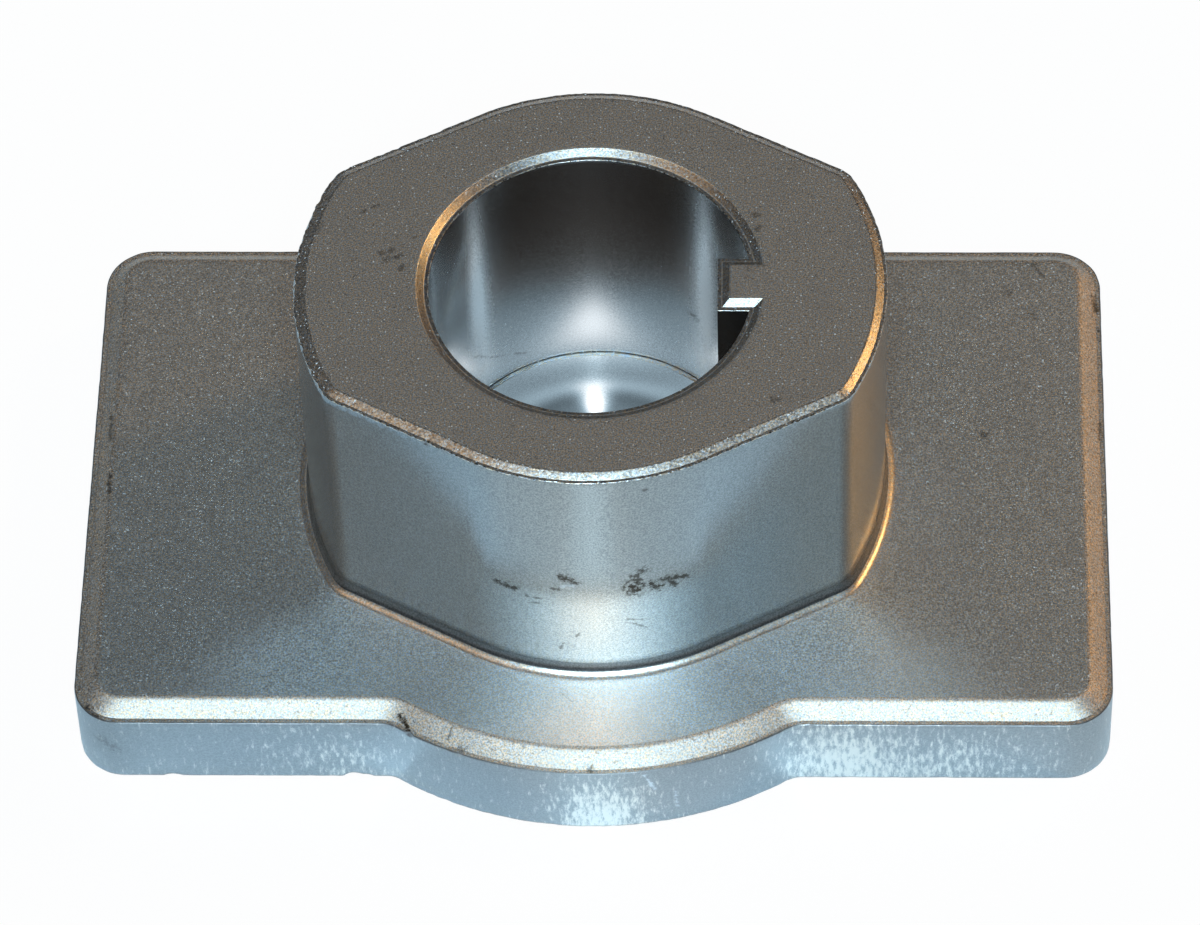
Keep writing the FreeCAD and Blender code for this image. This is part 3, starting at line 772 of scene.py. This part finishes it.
studio = {
    "floorColour": (0.95, 0.95, 0.95, 1),
    # painted reflection: the paper's own colour for reflections, and a dim one for them at the sides
    "paintedMirrorFloor": (0.78, 0.88, 0.94, 1),
    "paintedDimFloor": (0.20, 0.21, 0.22, 1),
    "floorHalf": 12.0,               # this and the next three are in metres
    "floorGap": 0.00003,
    "sideShade": (0.042, 0.16),      # left and right of the part, where reflections find the floor painted dim
    "paperFade": (0.06, 0.30),       # from the part outwards, where the paper turns plain white
    "whiteShare": 0.95,              # and how white it is close to the part
    "flash": {"azimuth": 2.8, "elevation": 53.5, "angle": 20.0,
              "strength": 3.0, "colour": (0.61, 0.845, 1.0)},
    "lamp": {"azimuth": 115.0, "elevation": 40.0, "angle": 8.0,
             "strength": 0.54, "colour": (1.0, 0.58, 0.21)},
    "roomColour": (0.085, 0.09, 0.095, 1),
    "shadeColour": (0.03, 0.033, 0.035, 1),
    "shadeFront": (-0.25, -0.6),     # how far to the front and how high the room's shade reaches
    "shadeHeight": (0.72, 0.5),
    "horizon": (0.045, 0.02),
    # colour, azimuth, elevation, edge, core, share
    "glows": [((1.0, 0.56, 0.20, 1), 118.0, 22.0, 0.82, 0.97, 0.3),
              ((1.0, 0.57, 0.22, 1), -66.0, 59.0, 0.95, 0.99, 0.85)],
    # painted light on the floor that only reflections see, in millimetres: x, y, half width and depth,
    # strength, edge; painted pools inside the bore stand in for the light its back wall gathers, and a
    # painted streak runs from the part towards the flash
    "paintedFloorLight": [(0.0, 9.5, 11.0, 5.5, 0.14, 1), (-0.2, 3.5, 5.7, 4.0, 0.42, 2),
                   (-0.5, 10.2, 5.0, 1.2, 0.2, 1), (0.0, -2.0, 6.0, 5.0, 0.05, 1),
                   (-0.15, 2.2, 1.6, 2.0, 0.65, 1), (-0.15, 2.4, 0.7, 2.2, 1.5, 1),
                   (-0.45, 9.6, 0.6, 1.6, 1.9, 1), (0.0, 7.87, 11.0, 0.6, 0.5, 1),
                   (0.0, -38.0, 4.5, 14.0, 0.45, 1)],
    "paintedFloorGlow": 0.028,              # the least of that painted light
    # its colour where it is weak, stronger and strongest, and the strengths between which each gives way
    "weakLight": (1.0, 0.88, 0.76, 1),
    "coolLight": (0.64, 0.86, 1.0, 1),
    "coolRange": (0.03, 0.25),
    "paleLight": (0.92, 0.97, 1.0, 1),
    "paleRange": (0.6, 1.6),
}


def buildFloor():
    half, low = studio["floorHalf"], -studio["floorGap"]
    mesh = bpy.data.meshes.new("studioFloor")
    corners = [(-half, -half, low), (half, -half, low), (half, half, low), (-half, half, low)]
    mesh.from_pydata(corners, [], [(0, 1, 2, 3)])
    floor = bpy.data.objects.new("studioFloor", mesh)
    bpy.context.scene.collection.objects.link(floor)
    material = bpy.data.materials.new("paleFloor")
    material.use_nodes = True
    tree = material.node_tree
    tree.nodes.clear()
    white = addNode(tree, "ShaderNodeEmission", {"Color": (1.0, 1.0, 1.0, 1), "Strength": 1.0}).outputs[0]
    place = addNode(tree, "ShaderNodeTexCoord").outputs["Object"]
    away = measure(tree, "LENGTH", place)
    rays = addNode(tree, "ShaderNodeLightPath").outputs
    mirrored = calc(tree, "MAXIMUM", rays["Is Glossy Ray"], rays["Is Transmission Ray"])
    # painted reflection: reflections find the floor bluish, and painted dim to the left and right
    across = calc(tree, "ABSOLUTE", addNode(tree, "ShaderNodeSeparateXYZ", {0: place}).outputs["X"])
    aside = ramp(tree, across, *studio["sideShade"])
    colour = mixColour(tree, aside, studio["paintedMirrorFloor"], studio["paintedDimFloor"])
    colour = mixColour(tree, mirrored, studio["floorColour"], colour)
    paper = addNode(tree, "ShaderNodeBsdfDiffuse", {"Color": colour}).outputs[0]
    # far from the part the paper shows as plain white; near it a little shadow stays
    far = ramp(tree, away, *studio["paperFade"])
    whiteness = calc(tree, "MAXIMUM", far, studio["whiteShare"])
    seenWhite = calc(tree, "MULTIPLY", rays["Is Camera Ray"], whiteness)
    farMiddle = calc(tree, "MULTIPLY", far, calc(tree, "SUBTRACT", 1.0, aside))
    share = calc(tree, "MAXIMUM", seenWhite, calc(tree, "MULTIPLY", mirrored, farMiddle))
    mix = addNode(tree, "ShaderNodeMixShader", {0: share, 1: paper, 2: white}).outputs[0]
    # painted light: pools of glow on the floor, for reflections only
    paintedPoolLight = studio["paintedFloorGlow"]
    for x, y, wide, deep, strength, sharp in studio["paintedFloorLight"]:
        light = fall(tree, place, (x * mm, y * mm, 0.0), (wide * mm, deep * mm, 0.0), sharp)
        paintedPoolLight = calc(tree, "MULTIPLY_ADD", light, strength, paintedPoolLight)
    cool, pale = (ramp(tree, paintedPoolLight, *studio[limits]) for limits in ("coolRange", "paleRange"))
    tint = mixColour(tree, cool, studio["weakLight"], studio["coolLight"])
    tint = mixColour(tree, pale, tint, studio["paleLight"])
    seen = calc(tree, "MULTIPLY", paintedPoolLight, mirrored)
    pool = addNode(tree, "ShaderNodeEmission", {"Color": tint, "Strength": seen}).outputs[0]
    lit = addNode(tree, "ShaderNodeAddShader", {0: mix, 1: pool}).outputs[0]
    # inside the bore, reflections meet only the painted pools of light
    inside = calc(tree, "MULTIPLY", mirrored, calc(tree, "LESS_THAN", away, boreRadius * mm))
    mix = addNode(tree, "ShaderNodeMixShader", {0: inside, 1: lit, 2: pool}).outputs[0]
    addNode(tree, "ShaderNodeOutputMaterial", {"Surface": mix})
    mesh.materials.append(material)


def aimed(azimuth, elevation):
    # direction towards a place that is seen at this azimuth, from the front, and this elevation
    a, e = math.radians(azimuth), math.radians(elevation)
    return Vector((math.sin(a) * math.cos(e), -math.cos(a) * math.cos(e), math.sin(e)))


def addSun(name, look):
    lamp = bpy.data.lights.new(name, "SUN")
    lamp.energy, lamp.angle, lamp.color = look["strength"], math.radians(look["angle"]), look["colour"]
    sun = bpy.data.objects.new(name, lamp)
    sun.rotation_mode = "QUATERNION"
    sun.rotation_quaternion = aimed(look["azimuth"], look["elevation"]).to_track_quat("Z", "Y")
    bpy.context.scene.collection.objects.link(sun)


def buildRoom():
    # dim room, darker at the front, with two warm glows and a white horizon
    world = bpy.data.worlds.new("room")
    bpy.context.scene.world = world
    world.use_nodes = True
    tree = world.node_tree
    tree.nodes.clear()
    way = addNode(tree, "ShaderNodeTexCoord").outputs["Generated"]
    split = addNode(tree, "ShaderNodeSeparateXYZ", {0: way}).outputs
    shade = calc(tree, "MULTIPLY", ramp(tree, split["Y"], *studio["shadeFront"]),
                 ramp(tree, split["Z"], *studio["shadeHeight"]))
    colour = mixColour(tree, shade, studio["roomColour"], studio["shadeColour"])
    for tint, azimuth, elevation, edge, core, share in studio["glows"]:
        near = measure(tree, "DOT_PRODUCT", way, aimed(azimuth, elevation))
        colour = mixColour(tree, calc(tree, "MULTIPLY", ramp(tree, near, edge, core), share), colour, tint)
    colour = mixColour(tree, ramp(tree, split["Z"], *studio["horizon"]), colour, (1.0, 1.0, 1.0, 1))
    back = addNode(tree, "ShaderNodeBackground", {"Color": colour, "Strength": 1.0}).outputs[0]
    addNode(tree, "ShaderNodeOutputWorld", {"Surface": back})


buildFloor()
addSun("cameraFlash", studio["flash"])
addSun("warmLamp", studio["lamp"])
buildRoom()
print("studio: floor, two lamps and room light")

view = {
    "lens": 202.39,
    "sensor": 36.0,
    "clip": (0.01, 50.0),               # metres
    "azimuth": 2.809,
    "elevation": 52.468,
    "roll": -2.119,
    "target": (0.466, -4.913, 15.0),    # millimetres, as the distance
    "distance": 470.41,
}


def buildCamera():
    data = bpy.data.cameras.new("photoCamera")
    data.lens, data.sensor_width, data.sensor_fit = view["lens"], view["sensor"], "HORIZONTAL"
    data.clip_start, data.clip_end = view["clip"]
    camera = bpy.data.objects.new("photoCamera", data)
    back = aimed(view["azimuth"], view["elevation"])
    turn = math.radians(view["azimuth"])
    right = Vector((math.cos(turn), math.sin(turn), 0.0))
    up = back.cross(right)
    roll = math.radians(view["roll"])
    rolledRight = math.cos(roll) * right + math.sin(roll) * up
    rolledUp = -math.sin(roll) * right + math.cos(roll) * up
    camera.rotation_mode = "QUATERNION"
    camera.rotation_quaternion = Matrix((rolledRight, rolledUp, back)).transposed().to_quaternion()
    camera.location = (Vector(view["target"]) + view["distance"] * back) * mm
    bpy.context.scene.collection.objects.link(camera)
    bpy.context.scene.camera = camera


buildCamera()
bpy.context.scene.view_settings.view_transform = "Standard"
bpy.context.scene.cycles.blur_glossy = 0.0  # keeps the light that hub and plate throw on each other
print("camera set")
